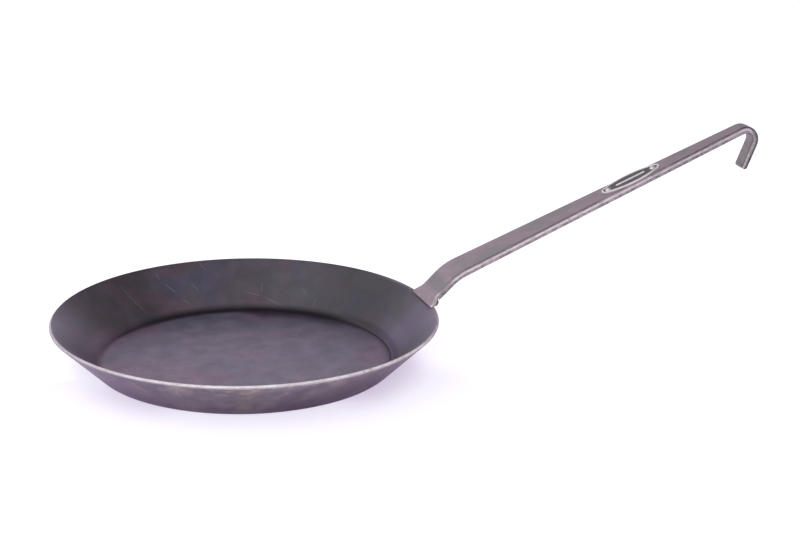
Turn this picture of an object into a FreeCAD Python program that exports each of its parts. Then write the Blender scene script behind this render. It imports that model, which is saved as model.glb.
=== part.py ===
import FreeCAD, Part
import math
import os

# Iron frying pan: a pressed sheet bowl with a hooked handle forged from one flat bar.
# Millimetres. +Z is up, the handle points along +X, and the origin is the centre of
# the pan's underside.

# ---- bowl ----
RIM_RADIUS = 140.0          # outermost corner of the rim, before it is broken
PAN_HEIGHT = 33.5           # underside to the highest corner of the rim, before it is broken
WALL_ANGLE = 44.0           # the wall's slope above the horizontal, degrees
SHEET = 2.5                 # thickness of the pressed sheet
BEND_RADIUS = 5.0           # inside radius where the floor turns into the wall
RIM_BREAK = 0.4             # deburred corners of the square-cut rim

# ---- handle bar ----
BAR_THICKNESS = 5.6
ROOT_WIDTH = 30.4           # across the bar where the tongue's flare begins
HOOK_WIDTH = 13.6           # across the bar where the hook's bend begins
STEEP_RUN = 27.6            # rim to the crank's corner, measured up the wall's line
CRANK_RADIUS = 39.6         # on the inside of the crank's bend
SHANK_ANGLE = 21.2          # the shank's slope above the horizontal, degrees
SHANK_LENGTH = 274.7        # the crank's corner to the hook's corner
HOOK_RADIUS = 5.5           # on the inside of the hook's bend
HOOK_TURN = 135.2           # how far the hook's bend turns, degrees
LEG_LENGTH = 47.2           # the hook's corner to the tip of its leg
TIP_THICKNESS = 4.8         # the leg is drawn out thinner towards its tip
TIP_ROUND = 2.2             # corners of the tip, seen square on
EDGE_ROUND = 1.6            # long edges of the bar

# ---- tongue, the thin end of the bar that laps over the rim ----
LAP = 3.8                   # length that lies inside the bowl
TONGUE_THICKNESS = 2.2
TONGUE_WIDTH = 40.6         # across its spread end
TONGUE_SQUARE = 2.6         # straight length at its end that keeps the full width
TONGUE_CORNER = 2.2         # corners of its spread end
FLARE_ANGLE = 46.0          # of the spreading sides from the handle's line, degrees
FLARE_ROUND = 4.0           # both bends of the spreading sides
SHOULDER_GAP = 5.6          # rim to the shoulder where the bar has its full thickness

# ---- weld ----
WELD_RADIUS = 3.3           # of the bead's round section
WELD_DEPTH = 1.3            # the bead's centre line below the tongue's underside
WELD_INSET = 1.6            # the full section's ends inside the bar's sides
WELD_TAPER = 2.4            # length of the bead's tapered ends
WELD_END_RADIUS = 1.7

# ---- name plate and its rivets ----
PLATE_DISTANCE = 154.2      # the crank's corner to the plate's middle, along the shank
PLATE_LENGTH = 49.0
PLATE_WIDTH = 17.6
PLATE_END_RADIUS = 4.6      # of the oval's two end arcs
PLATE_THICKNESS = 0.6
BORDER_WIDTH = 1.5
BORDER_HEIGHT = 0.4         # the border above the plate's field
BORDER_BEVEL = 0.3
RIVET_INSET = 5.4           # the plate's end to the rivet's centre
RIVET_DIAMETER = 3.0
RIVET_CLEARANCE = 0.05      # radial, round the rivet's shank
HEAD_DIAMETER = 4.9
HEAD_HEIGHT = 1.3
TAIL_DIAMETER = 4.6
TAIL_FACE = 3.2             # across the flat that the hammer leaves
TAIL_HEIGHT = 1.0

MARGIN = 5.0                # how far cutting solids run past what they cut
UP = FreeCAD.Vector(0, 0, 1)
ORIGIN = FreeCAD.Vector(0, 0, 0)


def point(x, y, z):
    """A point or vector in the part's frame."""
    return FreeCAD.Vector(x, y, z)


def direction(degrees):
    """Unit vector in the XZ plane at a slope above the horizontal."""
    angle = math.radians(degrees)
    return point(math.cos(angle), 0, math.sin(angle))


def upper_normal(degrees):
    """Unit vector square to direction(degrees), on its upper side."""
    return direction(degrees + 90)


def rounded_wire(corners):
    """Closed wire through (point, radius) corners, with a tangent arc where the radius isn't 0."""
    arcs = []
    ends = []
    for i, (corner, radius) in enumerate(corners):
        before = (corners[i - 1][0] - corner).normalize()
        after = (corners[(i + 1) % len(corners)][0] - corner).normalize()
        half = before.getAngle(after) / 2
        start = corner + before * (radius / math.tan(half))
        finish = corner + after * (radius / math.tan(half))
        ends.append((start, finish))
        if radius > 0:
            inward = (before + after).normalize()
            middle = corner + inward * (radius / math.sin(half) - radius)
            arcs.append(Part.Arc(start, middle, finish).toShape())
    lines = [Part.makeLine(ends[i - 1][1], ends[i][0]) for i in range(len(ends))]
    return Part.Wire(Part.__sortEdges__(arcs + lines))


# The wall's inner face in the XZ plane is the line that every size of the handle starts from.
WALL = direction(WALL_ANGLE)
WALL_NORMAL = upper_normal(WALL_ANGLE)
RIM_INNER = point(RIM_RADIUS + WALL_NORMAL.x * SHEET, 0, PAN_HEIGHT)


def on_wall(run, rise):
    """Point at a distance up the wall's line from the rim and a height above its inner face."""
    return RIM_INNER + WALL * run + WALL_NORMAL * rise


SHANK = direction(SHANK_ANGLE)
LEG_ANGLE = SHANK_ANGLE - HOOK_TURN
CRANK_CORNER = on_wall(STEEP_RUN, TONGUE_THICKNESS)
HOOK_CORNER = CRANK_CORNER + SHANK * SHANK_LENGTH
HOOK_TANGENT = (HOOK_RADIUS + BAR_THICKNESS) * math.tan(math.radians(HOOK_TURN / 2))
TIP_CORNER = HOOK_CORNER + direction(LEG_ANGLE) * LEG_LENGTH


def make_pan_body():
    """The bowl: one sheet section turned about the pan's axis."""
    rim_outer = on_wall(0, -SHEET)
    slope = math.tan(math.radians(WALL_ANGLE))
    section = rounded_wire([
        (ORIGIN, 0),
        (point(rim_outer.x - rim_outer.z / slope, 0, 0), BEND_RADIUS + SHEET),
        (on_wall(-RIM_BREAK, -SHEET), 0),
        (on_wall(0, RIM_BREAK - SHEET), 0),
        (on_wall(0, -RIM_BREAK), 0),
        (on_wall(-RIM_BREAK, 0), 0),
        (point(RIM_INNER.x - (RIM_INNER.z - SHEET) / slope, 0, SHEET), BEND_RADIUS),
        (point(0, 0, SHEET), 0),
    ])
    return Part.Face(section).revolve(ORIGIN, UP, 360)


def underside_corner(corner, slope_before, slope_after):
    """The bar's lower corner below an upper one where two straight runs meet."""
    first = upper_normal(slope_before)
    second = upper_normal(slope_after)
    return corner - (first + second) * (BAR_THICKNESS / (1 + first.dot(second)))


def bar_side_view():
    """The bar's outline from the side: tongue, steep run, crank, shank, hook and leg."""
    return rounded_wire([
        (on_wall(-LAP, TONGUE_THICKNESS), 0),
        (CRANK_CORNER, CRANK_RADIUS + BAR_THICKNESS),
        (HOOK_CORNER, HOOK_RADIUS + BAR_THICKNESS),
        (TIP_CORNER, 0),
        (TIP_CORNER - upper_normal(LEG_ANGLE) * TIP_THICKNESS, 0),
        (underside_corner(HOOK_CORNER, SHANK_ANGLE, LEG_ANGLE), HOOK_RADIUS),
        (underside_corner(CRANK_CORNER, WALL_ANGLE, SHANK_ANGLE), CRANK_RADIUS),
        (on_wall(SHOULDER_GAP, -SHEET), 0),
        (on_wall(SHOULDER_GAP, 0), 0),
        (on_wall(-LAP, 0), 0),
    ])


def bar_plan_view():
    """The bar's outline from above: a spread end, then one straight taper past the hook."""
    flare = math.radians(FLARE_ANGLE)
    square_end = on_wall(TONGUE_SQUARE - LAP, TONGUE_THICKNESS)
    spread_x = square_end.x + FLARE_ROUND * math.tan(flare / 2)
    root_x = spread_x + (TONGUE_WIDTH - ROOT_WIDTH) / 2 / math.tan(flare)
    hook_x = HOOK_CORNER.x - SHANK.x * HOOK_TANGENT
    far_x = HOOK_CORNER.x + MARGIN
    taper = (ROOT_WIDTH - HOOK_WIDTH) / (hook_x - root_x)
    one_side = [
        (square_end.x - TONGUE_SQUARE - MARGIN, TONGUE_WIDTH, 0),
        (spread_x, TONGUE_WIDTH, FLARE_ROUND),
        (root_x, ROOT_WIDTH, FLARE_ROUND),
        (far_x, ROOT_WIDTH - taper * (far_x - root_x), 0),
    ]
    corners = [(point(x, width / 2, 0), radius) for x, width, radius in one_side]
    corners += [(point(x, -width / 2, 0), radius) for x, width, radius in reversed(one_side)]
    return rounded_wire(corners)


def edges_through(bar, place):
    """The edges through the bar's thickness, one at each side, beside a place on its middle line."""
    found = []
    for edge in bar.Edges:
        centre = edge.CenterOfMass
        beside = point(centre.x, 0, centre.z).distanceToPoint(place) < BAR_THICKNESS / 10
        if beside and abs(centre.y) > HOOK_WIDTH / 3:
            found.append(edge)
    return found


def is_sharp(shape, edge):
    """Whether the two faces at an edge meet at a corner and don't run smoothly on."""
    middle = edge.valueAt((edge.FirstParameter + edge.LastParameter) / 2)
    normals = []
    for face in shape.ancestorsOfType(edge, Part.Face):
        normals.append(face.normalAt(*face.Surface.parameter(middle)))
    return normals[0].getAngle(normals[-1]) > math.radians(30)


def handled_edges(bar):
    """The sharp edges that a hand meets: all but those under the tongue and round the shoulder."""
    found = []
    for edge in bar.Edges:
        place = edge.CenterOfMass - RIM_INNER
        on_top = place.dot(WALL_NORMAL) > TONGUE_THICKNESS / 2
        past_shoulder = place.dot(WALL) > SHOULDER_GAP + BAR_THICKNESS / 10
        if (on_top or past_shoulder) and is_sharp(bar, edge):
            found.append(edge)
    return found


def make_blank_bar():
    """The bar before it is fitted to the bowl: its two outlines crossed, then its corners rounded."""
    width = TONGUE_WIDTH + 2 * MARGIN
    side = Part.Face(bar_side_view())
    side.translate(point(0, -width / 2, 0))
    plan = Part.Face(bar_plan_view()).extrude(UP * (HOOK_CORNER.z + MARGIN))
    bar = side.extrude(point(0, width, 0)).common(plan)
    tip_middle = TIP_CORNER - upper_normal(LEG_ANGLE) * (TIP_THICKNESS / 2)
    tongue_middle = on_wall(-LAP, TONGUE_THICKNESS / 2)
    bar = bar.makeFillet(TIP_ROUND, edges_through(bar, tip_middle))
    bar = bar.makeFillet(TONGUE_CORNER, edges_through(bar, tongue_middle))
    return bar.makeFillet(EDGE_ROUND, handled_edges(bar))


def on_shank(shape, distance):
    """Stands a shape made round the origin, +Z up, on the shank's top at a distance from the crank."""
    placed = shape.copy()
    placed.rotate(ORIGIN, point(0, 1, 0), -SHANK_ANGLE)
    placed.translate(CRANK_CORNER + SHANK * distance)
    return placed


def rivet_places():
    """Distances of the two rivets from the crank's corner, the one nearer the pan first."""
    reach = PLATE_LENGTH / 2 - RIVET_INSET
    return [PLATE_DISTANCE - reach, PLATE_DISTANCE + reach]


def rivet_hole(distance):
    """Cutting cylinder through the plate and the bar."""
    depth = BAR_THICKNESS + MARGIN
    radius = RIVET_DIAMETER / 2 + RIVET_CLEARANCE
    return on_shank(Part.makeCylinder(radius, depth + MARGIN, UP * -depth), distance)


def make_handle_bar(pan):
    """The bar with its tongue's underside shaped to the bowl, and its rivet holes."""
    bar = make_blank_bar().cut(pan)
    for distance in rivet_places():
        bar = bar.cut(rivet_hole(distance))
    return bar.Solids[0]


def make_weld_bead(pan, bar):
    """A round bead along the rim that fills the gap between rim, shoulder and tongue."""
    centre = on_wall(SHOULDER_GAP / 2, -WELD_DEPTH)
    half_sweep = math.degrees(math.asin((ROOT_WIDTH / 2 - WELD_INSET) / centre.x))
    section = Part.Face(Part.Wire(Part.makeCircle(WELD_RADIUS, centre, point(0, 1, 0))))
    section.rotate(ORIGIN, UP, -half_sweep)
    bead = section.revolve(ORIGIN, UP, 2 * half_sweep)
    for side in (-1, 1):
        end = Part.makeCone(WELD_RADIUS, WELD_END_RADIUS, WELD_TAPER, centre, point(0, side, 0))
        end.rotate(ORIGIN, UP, side * half_sweep)
        bead = bead.fuse(end)
    pieces = bead.cut(pan).cut(bar).Solids
    return max(pieces, key=lambda piece: piece.Volume)


def oval(inset, base, height):
    """A disc as long and wide as the plate less an inset all round: four tangent arcs."""
    half_length, half_width = PLATE_LENGTH / 2 - inset, PLATE_WIDTH / 2 - inset
    end_radius = PLATE_END_RADIUS - inset
    end_x = half_length - end_radius
    side_radius = (end_x ** 2 + half_width ** 2 - end_radius ** 2) / (2 * (half_width - end_radius))
    turn = math.atan2(end_x, side_radius - half_width)
    x = side_radius * math.sin(turn)
    y = side_radius * math.cos(turn) - (side_radius - half_width)
    stops = [(x, y), (half_length, 0), (x, -y), (0, -half_width), (-x, -y), (-half_length, 0),
             (-x, y), (0, half_width), (x, y)]
    places = [point(*stop, base) for stop in stops]
    arcs = [Part.Arc(*places[i:i + 3]).toShape() for i in range(0, len(places) - 1, 2)]
    return Part.Face(Part.Wire(arcs)).extrude(UP * height)


def make_name_plate():
    """The oval plate: a bare sunk field inside a raised border."""
    top = PLATE_THICKNESS + BORDER_HEIGHT
    plate = oval(0, 0, top).cut(oval(BORDER_WIDTH, PLATE_THICKNESS, MARGIN))
    border = [edge for edge in plate.Edges if edge.BoundBox.ZMin > top - BORDER_BEVEL]
    plate = on_shank(plate.makeChamfer(BORDER_BEVEL, border), PLATE_DISTANCE)
    for distance in rivet_places():
        plate = plate.cut(rivet_hole(distance))
    return plate.Solids[0]


def make_rivet(distance):
    """One rivet: a domed head on the plate, a shank through the bar and a hammered tail."""
    top, under = PLATE_THICKNESS, -BAR_THICKNESS
    head_radius = HEAD_DIAMETER / 2
    dome_radius = (head_radius ** 2 + HEAD_HEIGHT ** 2) / (2 * HEAD_HEIGHT)
    dome = Part.makeSphere(dome_radius, UP * (top + HEAD_HEIGHT - dome_radius), point(1, 0, 0))
    head = dome.common(Part.makeCylinder(head_radius, HEAD_HEIGHT, UP * top))
    shank = Part.makeCylinder(RIVET_DIAMETER / 2, top - under, UP * under)
    tail = Part.makeCone(TAIL_FACE / 2, TAIL_DIAMETER / 2, TAIL_HEIGHT, UP * (under - TAIL_HEIGHT))
    return on_shank(head.fuse([shank, tail]).Solids[0], distance)


def main():
    """Builds every piece and writes one STEP file for each."""
    pan = make_pan_body()
    bar = make_handle_bar(pan)
    near_rivet, far_rivet = (make_rivet(distance) for distance in rivet_places())
    nodes = {
        "pan_body": pan,
        "handle_bar": bar,
        "weld_bead": make_weld_bead(pan, bar),
        "name_plate": make_name_plate(),
        "rivet_pan_side": near_rivet,
        "rivet_hook_side": far_rivet,
    }
    os.makedirs("parts", exist_ok=True)
    for name, shape in nodes.items():
        shape.exportStep("parts/" + name + ".step")
        print(name, "valid", shape.isValid(), "solids", len(shape.Solids), "mm3", round(shape.Volume))


main()
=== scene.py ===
"""Looks of a pressed iron frying pan with a hooked bar handle, dressed round its fixed frame."""

import logging
import math
from collections.abc import Sequence
from dataclasses import dataclass, field
from enum import Enum

import bpy
from mathutils import Euler, Matrix, Vector, noise


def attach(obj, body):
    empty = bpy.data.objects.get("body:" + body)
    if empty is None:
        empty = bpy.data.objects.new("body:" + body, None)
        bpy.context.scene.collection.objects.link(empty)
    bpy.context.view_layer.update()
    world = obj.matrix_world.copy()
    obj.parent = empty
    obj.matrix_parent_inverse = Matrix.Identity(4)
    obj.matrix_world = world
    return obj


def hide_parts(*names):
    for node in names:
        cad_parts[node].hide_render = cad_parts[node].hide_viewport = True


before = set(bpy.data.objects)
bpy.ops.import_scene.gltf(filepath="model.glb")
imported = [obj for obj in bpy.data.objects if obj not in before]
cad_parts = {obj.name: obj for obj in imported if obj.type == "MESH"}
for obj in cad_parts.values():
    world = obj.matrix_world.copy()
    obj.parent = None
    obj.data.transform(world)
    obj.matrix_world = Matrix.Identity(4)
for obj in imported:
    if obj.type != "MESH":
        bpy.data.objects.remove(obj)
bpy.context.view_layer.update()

LOG = logging.getLogger("frying_pan")
MM = 0.001

Colour = tuple[float, float, float]
Socket = bpy.types.NodeSocket


class Slot(Enum):
    """The record's material slots named for the scene's own pieces; add_piece takes one but doesn't assign
    it.
    """

    PAN_IRON = "pan_iron"
    WELD_METAL = "weld_metal"
    PLATE_METAL = "plate_metal"


class Maths(Enum):
    """The sums that the finishes use."""

    ADD = "ADD"
    SUBTRACT = "SUBTRACT"
    MULTIPLY = "MULTIPLY"
    LARGER = "MAXIMUM"
    SMALLER = "MINIMUM"
    ABSOLUTE = "ABSOLUTE"
    ANGLE = "ARCTAN2"


class Graph:
    """Builds the node tree of one surface material."""

    def __init__(self, name: str) -> None:
        """Starts a material with a plain Principled surface.

        Args:
            name: The material's name.
        """
        self.material = bpy.data.materials.new(name)
        self.material.use_nodes = True
        self.tree = self.material.node_tree
        self.surface = self.tree.nodes["Principled BSDF"]
        self.place = self.node("ShaderNodeTexCoord").outputs["Object"]
        self.facing = self.node("ShaderNodeNewGeometry").outputs["Normal"]

    def node(self, kind: str, inputs: dict[str | int, object] | None = None,
             **settings: object) -> bpy.types.Node:
        """Adds a node.

        Args:
            kind: The node's type name.
            inputs: A value or a socket for each named or numbered input.
            **settings: The node's own properties.

        Returns:
            The new node.
        """
        made = self.tree.nodes.new(kind)
        for name, value in settings.items():
            setattr(made, name, value)
        for name, value in (inputs or {}).items():
            self.feed(made.inputs[name], value)
        return made

    def feed(self, target: Socket, value: object) -> None:
        """Links a socket to an input, or sets the input's value.

        Args:
            target: The input.
            value: A socket, a number, a vector or a colour.
        """
        if isinstance(value, bpy.types.NodeSocket):
            self.tree.links.new(value, target)
        elif isinstance(value, tuple) and len(target.default_value) == 4:
            target.default_value = (*value, 1.0)
        else:
            target.default_value = value

    def dress(self, **values: object) -> None:
        """Sets or links inputs of the surface.

        Args:
            **values: A value or a socket for each input, named with underscores for blanks.
        """
        for name, value in values.items():
            self.feed(self.surface.inputs[name.replace("_", " ")], value)

    def maths(self, kind: Maths, first: object, second: object = 0.0) -> Socket:
        """One sum of two numbers.

        Args:
            kind: Which sum.
            first: A socket or a number.
            second: A socket or a number.

        Returns:
            The result.
        """
        return self.node("ShaderNodeMath", {0: first, 1: second}, operation=kind.value).outputs[0]

    def plus(self, first: object, second: object) -> Socket:
        """The sum of two numbers."""
        return self.maths(Maths.ADD, first, second)

    def minus(self, first: object, second: object) -> Socket:
        """The first number less the second."""
        return self.maths(Maths.SUBTRACT, first, second)

    def unsigned(self, value: object) -> Socket:
        """A number without its sign."""
        return self.maths(Maths.ABSOLUTE, value)

    def length(self, vector: Socket) -> Socket:
        """A vector's length."""
        return self.node("ShaderNodeVectorMath", {0: vector}, operation="LENGTH").outputs["Value"]

    def product(self, *factors: object) -> Socket:
        """Multiplies several numbers.

        Args:
            *factors: Sockets or numbers.

        Returns:
            The product.
        """
        total = factors[0]
        for factor in factors[1:]:
            total = self.maths(Maths.MULTIPLY, total, factor)
        return total

    def largest(self, *values: object) -> Socket:
        """The largest of several numbers.

        Args:
            *values: Sockets or numbers.

        Returns:
            The largest.
        """
        top = values[0]
        for value in values[1:]:
            top = self.maths(Maths.LARGER, top, value)
        return top

    def weighed(self, *pairs: tuple[object, object]) -> Socket:
        """Adds up products of pairs.

        Args:
            *pairs: Two sockets or numbers each.

        Returns:
            The total.
        """
        total = self.maths(Maths.MULTIPLY, *pairs[0])
        for pair in pairs[1:]:
            total = self.plus(total, self.maths(Maths.MULTIPLY, *pair))
        return total

    def split(self, vector: Socket) -> tuple[Socket, Socket, Socket]:
        """A vector's X, Y and Z.

        Args:
            vector: The vector.

        Returns:
            Its three parts.
        """
        parts = self.node("ShaderNodeSeparateXYZ", {0: vector}).outputs
        return parts[0], parts[1], parts[2]

    def joined(self, x: object, y: object, z: object = 0.0) -> Socket:
        """A vector from its parts.

        Args:
            x: A socket or a number.
            y: A socket or a number.
            z: A socket or a number.

        Returns:
            The vector.
        """
        return self.node("ShaderNodeCombineXYZ", {0: x, 1: y, 2: z}).outputs[0]

    def noise(self, scale: float, detail: float, rough: float, at: Socket | None, shift: float) -> Socket:
        """Cloudy noise from 0 to 1.

        Args:
            scale: Cells in one metre.
            detail: Octaves.
            rough: How much the fine octaves count.
            at: Coordinates, or None for the object's own.
            shift: Moves the pattern, so that two of one scale differ.

        Returns:
            The noise.
        """
        where = self.node("ShaderNodeMapping", {
            "Vector": at or self.place, "Location": (shift, shift, shift),
        }).outputs[0] if shift else at or self.place
        return self.node("ShaderNodeTexNoise", {
            "Vector": where, "Scale": scale, "Detail": detail, "Roughness": rough,
        }).outputs[0]

    def ramp(self, value: object, low: float, high: float, bottom: object = 0.0, top: object = 1.0) -> Socket:
        """A smooth step between two levels.

        Args:
            value: What is measured.
            low: Where the step starts.
            high: Where it ends.
            bottom: The result at and before low.
            top: The result at and past high.

        Returns:
            The stepped value.
        """
        return self.node("ShaderNodeMapRange", {
            "Value": value, "From Min": low, "From Max": high, "To Min": bottom, "To Max": top,
        }, interpolation_type="SMOOTHSTEP").outputs[0]

    def band(self, value: Socket, middle: float, half: float, soft: float) -> Socket:
        """A soft-edged band round one value.

        Args:
            value: What is measured.
            middle: The band's middle.
            half: Half its full-strength width.
            soft: How far each edge fades.

        Returns:
            The band, 0 to 1.
        """
        return self.ramp(self.unsigned(self.minus(value, middle)), half + soft, half)

    def blend(self, share: object, first: object, second: object) -> Socket:
        """A colour between two colours.

        Args:
            share: 0 for the first, 1 for the second.
            first: A socket or a colour.
            second: A socket or a colour.

        Returns:
            The colour.
        """
        made = self.tree.nodes.new("ShaderNodeMix")
        made.data_type = "RGBA"
        self.feed(made.inputs[0], share)
        self.feed(made.inputs[6], first)
        self.feed(made.inputs[7], second)
        return made.outputs[2]

    def scaled(self, colour: Socket, factor: Socket) -> Socket:
        """A colour made lighter or darker.

        Args:
            colour: The colour.
            factor: What it is multiplied by.

        Returns:
            The colour.
        """
        return self.node("ShaderNodeVectorMath", {0: colour, "Scale": factor}, operation="SCALE").outputs[0]

    def level(self, share: object, first: object, second: object) -> Socket:
        """A number between two numbers.

        Args:
            share: 0 for the first, 1 for the second.
            first: A socket or a number.
            second: A socket or a number.

        Returns:
            The number.
        """
        return self.node("ShaderNodeMix", {0: share, 2: first, 3: second}, data_type="FLOAT").outputs[0]

    def relief(self, height: Socket, depth: float, under: Socket | None = None) -> Socket:
        """A bumped normal.

        Args:
            height: The relief, 0 to 1.
            depth: Its depth in metres.
            under: A bumped normal that this one is laid on.

        Returns:
            The normal.
        """
        inputs: dict[str | int, object] = {"Height": height, "Distance": depth}
        if under is not None:
            inputs["Normal"] = under
        return self.node("ShaderNodeBump", inputs).outputs[0]


@dataclass(frozen=True)
class Fade:
    """A smooth step of one measure: where it starts, where it is full, and the levels before and after."""

    start: float
    full: float
    before: float = 0.0
    after: float = 1.0

    def of(self, g: Graph, value: Socket) -> Socket:
        """The step's level at a measure."""
        return g.ramp(value, self.start, self.full, self.before, self.after)


@dataclass(frozen=True)
class Strip:
    """A soft-edged strip of one measure: its middle, half its full-strength width and how far it fades."""

    middle: float
    half: float
    soft: float

    def of(self, g: Graph, value: Socket) -> Socket:
        """The strip's strength at a measure, 0 to 1."""
        return g.band(value, self.middle, self.half, self.soft)


def sector(middle: float, half: float, soft: float) -> Strip:
    """A strip of the turn round the bowl's axis, given in degrees from the handle.

    Args:
        middle: The strip's middle.
        half: Half its full-strength width.
        soft: How far each edge fades.

    Returns:
        The strip, in radians.
    """
    return Strip(math.radians(middle), math.radians(half), math.radians(soft))


@dataclass(frozen=True)
class Clouds:
    """Cloudy noise: cells in one metre, the pattern's shift, octaves and how much the fine ones count."""

    cells: float
    shift: float
    detail: float = 2.0
    rough: float = 0.5

    def of(self, g: Graph, place: Socket | None = None) -> Socket:
        """The noise at a place, or at the object's own coordinates, 0 to 1."""
        return g.noise(self.cells, self.detail, self.rough, place, self.shift)


@dataclass(frozen=True)
class Patches:
    """Soft-edged patches cut from clouds."""

    clouds: Clouds
    edge: Fade

    def of(self, g: Graph, place: Socket | None = None) -> Socket:
        """The patches' strength at a place, or at the object's own coordinates."""
        return self.edge.of(g, self.clouds.of(g, place))


@dataclass(frozen=True)
class Hairs:
    """Fine parallel scratches that come and go in patches over some radii."""

    lean: float
    stretch: tuple[float, float, float]
    edge: Fade
    patches: Patches
    reach: Fade
    weight: float
    clouds: Clouds = Clouds(1.0, 0.0)

    def of(self, g: Graph, place: Socket, radius: Socket) -> Socket:
        """The scratches' strength.

        Args:
            g: The material's graph.
            place: Coordinates that the scratches run in.
            radius: The distance from the bowl's axis.

        Returns:
            The strength, 0 to the weight.
        """
        turned = g.node("ShaderNodeMapping", {
            "Vector": place, "Rotation": (0.0, 0.0, self.lean), "Scale": self.stretch,
        }).outputs[0]
        return g.product(self.edge.of(g, self.clouds.of(g, turned)), self.patches.of(g),
                         self.reach.of(g, radius), self.weight)


@dataclass(frozen=True)
class Stroke:
    """One hair scratch down the bowl's inner wall: turn and lean in degrees, run down and length in mm."""

    azimuth: float
    down: float
    length: float
    lean: float
    weight: float = 1.0


@dataclass(frozen=True)
class BowlPlace:
    """Where a point of the bowl's surface lies, and on which of its stretches.

    Attributes:
        turn: The angle round the axis from the handle.
        run: The distance up the wall's slope; the rim's cut edge lies half a sheet below 0.
        across: The distance across the sheet from about its middle, at the wall.
        from_crease: The distance outward from the crease between floor and wall.
        inner: 1 on faces that look up, as inside the bowl.
        outer: 1 on faces that look down, as on the wall's outside.
        left_end: 1 on the side away from the handle.
        cloudy: Fine clouds, 0 to 1.
    """

    x: Socket
    y: Socket
    z: Socket
    radius: Socket
    turn: Socket
    run: Socket
    across: Socket
    from_crease: Socket
    inner: Socket
    outer: Socket
    on_wall: Socket
    on_floor: Socket
    left_end: Socket
    cloudy: Socket

    def unrolled(self, g: Graph, round_scale: float, up_scale: float) -> Socket:
        """The wall laid flat, for patterns that are stretched round it.

        Args:
            g: The material's graph.
            round_scale: Metres of the pattern in one radian round the wall.
            up_scale: Metres of the pattern in one metre up the wall.

        Returns:
            The coordinates.
        """
        return g.joined(g.product(self.turn, round_scale), g.product(self.run, up_scale))


@dataclass(frozen=True)
class SheetScale:
    """Heat scale inside the bowl: patches of tints on the wall and a lighter floor, with stretches of the
    wall drawn lighter and darker as painted reflection and painted shade.
    """

    grey: Colour = (0.051, 0.039, 0.060)
    green: Colour = (0.043, 0.038, 0.054)
    green_patches: Patches = Patches(Clouds(20.0, 7.7), Fade(0.46, 0.62))
    blue: Colour = (0.040, 0.034, 0.066)
    blue_patches: Patches = Patches(Clouds(30.0, 1.4), Fade(0.50, 0.66))
    brown: Colour = (0.058, 0.031, 0.054)
    brown_clouds: Clouds = Clouds(26.0, 3.1)
    brown_drift: tuple[float, float] = (-3.2, 4.8)
    brown_drift_share: float = 0.26
    brown_edge: Fade = Fade(0.52, 0.78)
    floor: Colour = (0.232, 0.182, 0.262)
    floor_blue: Colour = (0.205, 0.182, 0.262)
    floor_blue_patches: Patches = Patches(Clouds(15.0, 6.4), Fade(0.44, 0.56))
    floor_pink: Colour = (0.262, 0.176, 0.258)
    floor_pink_patches: Patches = Patches(Clouds(12.0, 1.9), Fade(0.48, 0.60))
    floor_share: float = 0.85
    by_handle: Colour = (0.070, 0.050, 0.096)
    handle_sector: Strip = sector(-9.0, 6.0, 7.0)
    handle_share: float = 0.70
    # Painted shade and painted reflection: sectors of the inner wall drawn darker or lighter.
    painted_wall_stretches: tuple[tuple[Strip, float], ...] = (
        (sector(29.0, 11.0, 18.0), -0.42), (sector(108.0, 8.0, 20.0), 0.32), (sector(116.0, 2.0, 8.0), -0.30),
    )
    # More painted light and shade: lighter above the crease and darker below the rim at the left end, lighter
    # past the bend at the right.
    above_crease: Strip = Strip(3.0 * MM, 4.0 * MM, 6.0 * MM)
    above_crease_tone: float = 0.75
    below_rim: Fade = Fade(-16.0 * MM, -6.0 * MM)
    below_rim_tone: float = -0.20
    right_sector: Strip = sector(-8.0, 10.0, 12.0)
    past_bend: Strip = Strip(9.0 * MM, 3.0 * MM, 4.0 * MM)
    past_bend_tone: float = 0.40
    cloud_tones: Fade = Fade(0.25, 0.75, 0.76, 1.26)

    def tints(self, g: Graph, at: BowlPlace) -> Socket:
        """The scale's tints before its lighter and darker stretches.

        Args:
            g: The material's graph.
            at: The place on the bowl.

        Returns:
            The colour.
        """
        colour = g.blend(self.green_patches.of(g), self.grey, self.green)
        colour = g.blend(self.blue_patches.of(g), colour, self.blue)
        drift = g.weighed((at.x, self.brown_drift[0]), (at.y, self.brown_drift[1]))
        drifting = g.plus(self.brown_clouds.of(g), g.product(drift, self.brown_drift_share))
        colour = g.blend(self.brown_edge.of(g, drifting), colour, self.brown)
        floor = g.blend(self.floor_blue_patches.of(g), self.floor, self.floor_blue)
        floor = g.blend(self.floor_pink_patches.of(g), floor, self.floor_pink)
        colour = g.blend(g.product(at.on_floor, self.floor_share), colour, floor)
        under_handle = g.product(self.handle_sector.of(g, at.turn), at.on_wall, self.handle_share)
        return g.blend(under_handle, colour, self.by_handle)

    def painted_wall_shading(self, g: Graph, at: BowlPlace) -> Socket:
        """How much lighter or darker each stretch of the inner wall is drawn, by place alone: painted shade
        and painted reflection.

        Args:
            g: The material's graph.
            at: The place on the bowl.

        Returns:
            The factor, 1 where nothing changes.
        """
        changes = [(g.product(strip.of(g, at.turn), at.on_wall), tone) for strip, tone in self.painted_wall_stretches]
        past_bend = g.product(self.right_sector.of(g, at.turn), self.past_bend.of(g, at.from_crease))
        changes += [
            (g.product(at.left_end, self.above_crease.of(g, at.from_crease)), self.above_crease_tone),
            (g.product(at.left_end, self.below_rim.of(g, at.run)), self.below_rim_tone),
            (past_bend, self.past_bend_tone),
        ]
        return g.plus(1.0, g.weighed(*changes))

    def colour(self, g: Graph, at: BowlPlace) -> Socket:
        """The scale's colour, with the inner wall's painted shade and painted reflection.

        Args:
            g: The material's graph.
            at: The place on the bowl.

        Returns:
            The colour.
        """
        tinted = g.scaled(self.tints(g, at), self.painted_wall_shading(g, at))
        return g.scaled(tinted, self.cloud_tones.of(g, at.cloudy))


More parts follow.
